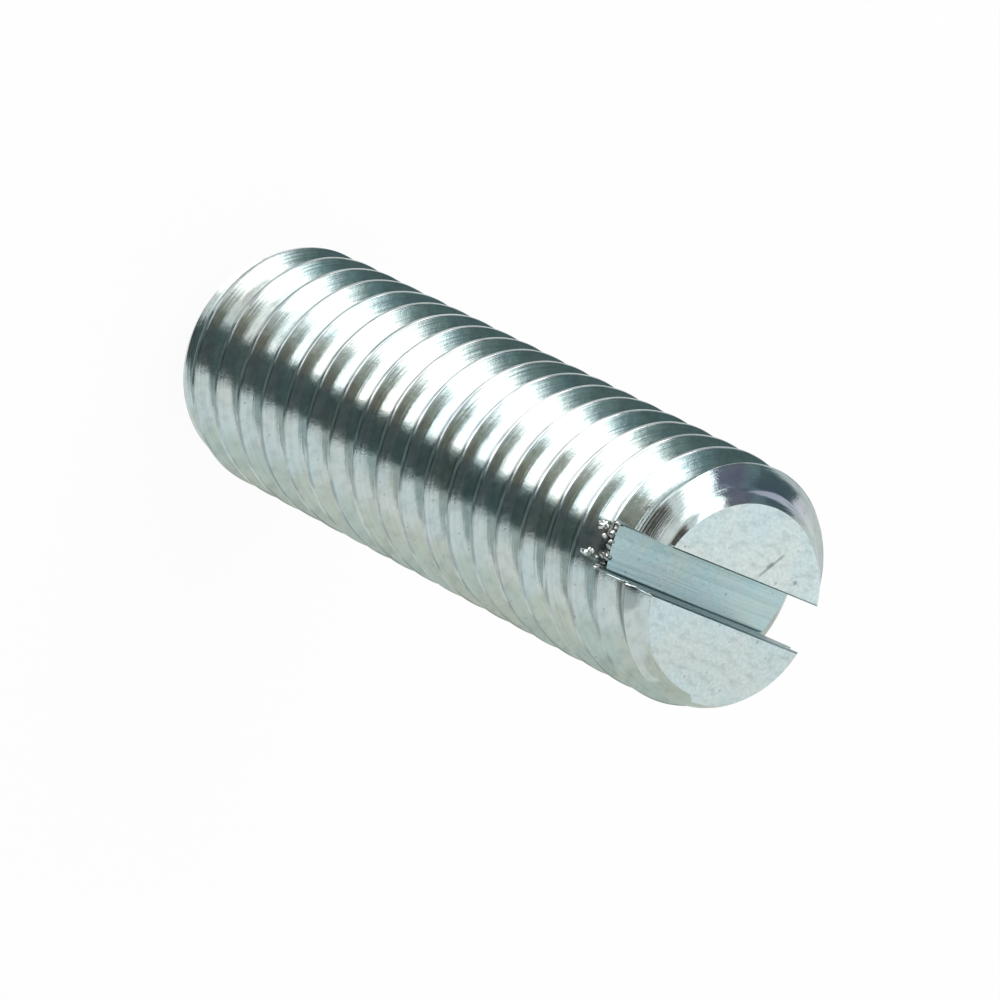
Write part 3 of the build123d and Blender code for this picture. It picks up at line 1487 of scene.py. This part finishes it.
@dataclass(frozen=True)
class Card:
    """A card, dark or bright, which only the metal's reflections show.

    Args:
        name: of the card.
        azimuths: from where to where it reaches around the screw, in degrees.
        shade: how bright it is, where 1 is as bright as the white background.
    """

    name: str
    azimuths: Span
    shade: Colour

    def point(self, aim: Vector, around: float, share: float) -> Vector:
        """A point of the card.

        Args:
            aim: the middle of the screw.
            around: its azimuth, in degrees.
            share: of the way from the card's first edge to its second one.

        Returns:
            The point.
        """
        raise NotImplementedError

    def place(self, aim: Vector, steps: int = 10) -> bpy.types.Object:
        """Stands the card in the studio.

        Args:
            aim: the middle of the screw.
            steps: how many flat pieces it is bent into, each way.

        Returns:
            The card's object.
        """
        west, east = self.azimuths
        shares = [i / steps for i in range(steps + 1)]
        points = [self.point(aim, west + (east - west) * u, v) for v in shares for u in shares]
        wide = steps + 1
        faces = [
            (j * wide + i, j * wide + i + 1, (j + 1) * wide + i + 1, (j + 1) * wide + i)
            for j in range(steps)
            for i in range(steps)
        ]
        mesh = bpy.data.meshes.new(self.name)
        mesh.from_pydata([tuple(point) for point in points], [], faces)
        card = in_scene(self.name, mesh)
        card.visible_camera = False
        card.visible_diffuse = False
        card.visible_shadow = False
        paint = bpy.data.materials.new(self.name)
        wiring = cleared(paint)
        glow = wiring.add("ShaderNodeEmission")
        wiring.put(self.shade, glow.inputs["Color"])
        wiring.put(glow.outputs[0], wiring.add("ShaderNodeOutputMaterial").inputs["Surface"])
        mesh.materials.append(paint)
        return card


@dataclass(frozen=True)
class CurvedCard(Card):
    """A card that stands curved around the screw.

    Args:
        elevations: from where to where it reaches upwards, in degrees.
        distance: from the screw, in metres.
    """

    elevations: Span
    distance: float = 0.4

    def point(self, aim: Vector, around: float, share: float) -> Vector:
        """A point of the card, at a share of the way up it."""
        low, high = self.elevations
        return aim + direction(around, low + (high - low) * share) * self.distance


@dataclass(frozen=True)
class FloorCard(Card):
    """A card that lies on the floor beside the screw.

    Args:
        reaches: from where to where it reaches out from the screw's axis, in millimetres.
        lift: how far it lies above the floor, in metres.
    """

    reaches: Span
    lift: float = 0.05 * MM

    def point(self, aim: Vector, around: float, share: float) -> Vector:
        """A point of the card, at a share of the way outwards."""
        near, far = (reach * MM for reach in self.reaches)
        return Vector((0.0, 0.0, self.lift)) + direction(around, 0.0) * (near + (far - near) * share)


def sees_background(wiring: Wiring) -> Socket:
    """Tells the rays that see the plain white background from the rest.

    Args:
        wiring: of the floor's material or the world.

    Returns:
        A socket that is 1 for those rays and 0 for the rest.
    """
    path = wiring.add("ShaderNodeLightPath")
    total = path.outputs[Ray.SEEN.value]
    for ray in (Ray.MIRRORED, Ray.THROUGH):
        total = wiring.math("MAXIMUM", total, path.outputs[ray.value])
    return total


@dataclass(frozen=True)
class Studio:
    """A pale floor, a soft lamp and cards around the screw.

    Args:
        floor_half: half of the floor's width, in metres.
        floor_colour: how pale the floor is.
        floor_glow: how much of its plain white the floor keeps where it is seen.
        ambient: the room's light on what isn't metal.
        softboxes: the lamps.
        cards: what the metal mirrors besides the plain white room. The darker ones make its dark
            bands, and the reflectors make the pale stripes deep in the grooves.
    """

    floor_half: float = 0.9
    floor_colour: float = 0.93
    floor_glow: float = 0.93
    ambient: float = 0.82
    softboxes: tuple[Softbox, ...] = (
        Softbox("key_softbox", azimuth=-82, elevation=37, width=0.42, height=0.56, brightness=1.58),
    )
    cards: tuple[Card, ...] = (
        CurvedCard("far_left_flag", (-150, -122), (0.12, 0.175, 0.18), (-1.4, 62)),
        CurvedCard("far_left_wing", (-122, -112), (0.20, 0.29, 0.295), (-1.4, 62)),
        CurvedCard("far_left_edge", (-112, -106), (0.80, 0.93, 0.97), (36, 62)),
        CurvedCard("low_left_flag", (-112, -88), (0.19, 0.195, 0.25), (-1.4, 34)),
        CurvedCard("low_middle_flag", (-46, -8), (0.12, 0.105, 0.095), (7, 31)),
        CurvedCard("overhead_left_flag", (-76, -42), (0.40, 0.40, 0.33), (64, 86)),
        CurvedCard("overhead_middle_flag", (-42, -20), (0.215, 0.20, 0.16), (60, 86)),
        CurvedCard("overhead_flag", (-20, 38), (0.095, 0.112, 0.118), (58, 88)),
        CurvedCard("front_flag", (-6, 27), (0.06, 0.075, 0.075), (-1, 58)),
        CurvedCard("side_card", (84, 108), (0.82, 0.84, 0.77), (0, 62)),
        CurvedCard("far_side_card", (108, 175), (0.74, 0.75, 0.68), (0, 56)),
        FloorCard("front_floor_flag", (-12, 34), (0.19, 0.235, 0.24), (3.3, 25)),
        FloorCard("front_floor_wing", (34, 46), (0.60, 0.66, 0.66), (3.3, 25)),
        FloorCard("front_floor_strip", (-4, 30), (0.13, 0.17, 0.17), (25, 350)),
        FloorCard("far_left_floor_flag", (-150, -98), (0.75, 0.78, 0.79), (14, 398)),
        FloorCard("back_left_floor_flag", (-176, -150), (0.80, 0.83, 0.84), (3.3, 350)),
        FloorCard("side_floor_flag", (104, 175), (0.70, 0.72, 0.65), (3.3, 350)),
        FloorCard("near_reflector", (-90, -9), (1.9, 1.7, 1.75), (10, 20)),
        FloorCard("low_reflector", (-92, -9), (4.9, 4.3, 4.35), (20, 350)),
        CurvedCard("low_reflector_wall", (-92, -9), (3.0, 2.75, 2.8), (-1.4, 5)),
    )

    def floor(self) -> bpy.types.Object:
        """The plain pale floor that the screw stands on."""
        h = self.floor_half
        mesh = bpy.data.meshes.new("floor")
        mesh.from_pydata([(-h, -h, 0), (h, -h, 0), (h, h, 0), (-h, h, 0)], [], [(0, 1, 2, 3)])
        floor = in_scene("floor", mesh)
        paint = bpy.data.materials.new("pale_floor")
        wiring = cleared(paint)
        cloth = wiring.add("ShaderNodeBsdfDiffuse")
        wiring.put((self.floor_colour,) * 3, cloth.inputs["Color"])
        glow = wiring.add("ShaderNodeEmission")
        wiring.put(WHITE, glow.inputs["Color"])
        both = wiring.add("ShaderNodeMixShader")
        wiring.put(wiring.times(sees_background(wiring), self.floor_glow), both.inputs[0])
        wiring.put(cloth.outputs[0], both.inputs[1])
        wiring.put(glow.outputs[0], both.inputs[2])
        wiring.put(both.outputs[0], wiring.add("ShaderNodeOutputMaterial").inputs["Surface"])
        mesh.materials.append(paint)
        return floor

    def world(self) -> None:
        """White where it is seen or mirrored, and a soft ambient light elsewhere."""
        room = bpy.data.worlds.new("studio")
        bpy.context.scene.world = room
        wiring = cleared(room)
        strength = wiring.add("ShaderNodeMapRange")
        strength.inputs["To Min"].default_value = self.ambient
        strength.inputs["To Max"].default_value = 1.0
        wiring.put(sees_background(wiring), strength.inputs["Value"])
        white = wiring.add("ShaderNodeBackground")
        wiring.put(WHITE, white.inputs["Color"])
        wiring.put(strength.outputs["Result"], white.inputs["Strength"])
        wiring.put(white.outputs[0], wiring.add("ShaderNodeOutputWorld").inputs["Surface"])

    def build(self, aim: Vector) -> None:
        """Sets up the studio.

        Args:
            aim: the middle of the screw, which the lamps and cards face.
        """
        self.floor()
        self.world()
        for lamp in self.softboxes:
            lamp.place(aim)
        for card in self.cards:
            card.place(aim)


def main() -> None:
    """Builds the screw, its finish and the studio, and reports each piece."""
    logging.basicConfig(level=logging.INFO, format="%(name)s: %(message)s")
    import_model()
    low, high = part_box(NODE)
    middle = Vector((0.0, 0.0, (low.z + high.z) / 2))
    StudioCamera().place(middle)
    Studio().build(middle)

    screw = ScrewBody(length=high.z)
    body = screw.build()
    effects = Effects()
    RolledZinc().dress(body.data.materials[Surface.ROLLED.value], effects, high.z)
    SawnZinc(screw.slot).dress(body.data.materials[Surface.SAWN.value], effects)
    CutEndZinc().dress(body.data.materials[Surface.CUT_END.value], effects)
    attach(body, BODY)
    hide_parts(NODE)
    LOG.info("%s: %d faces", body.name, len(body.data.polygons))

    bpy.context.scene.view_settings.view_transform = "Standard"


if __name__ == "__main__":
    main()
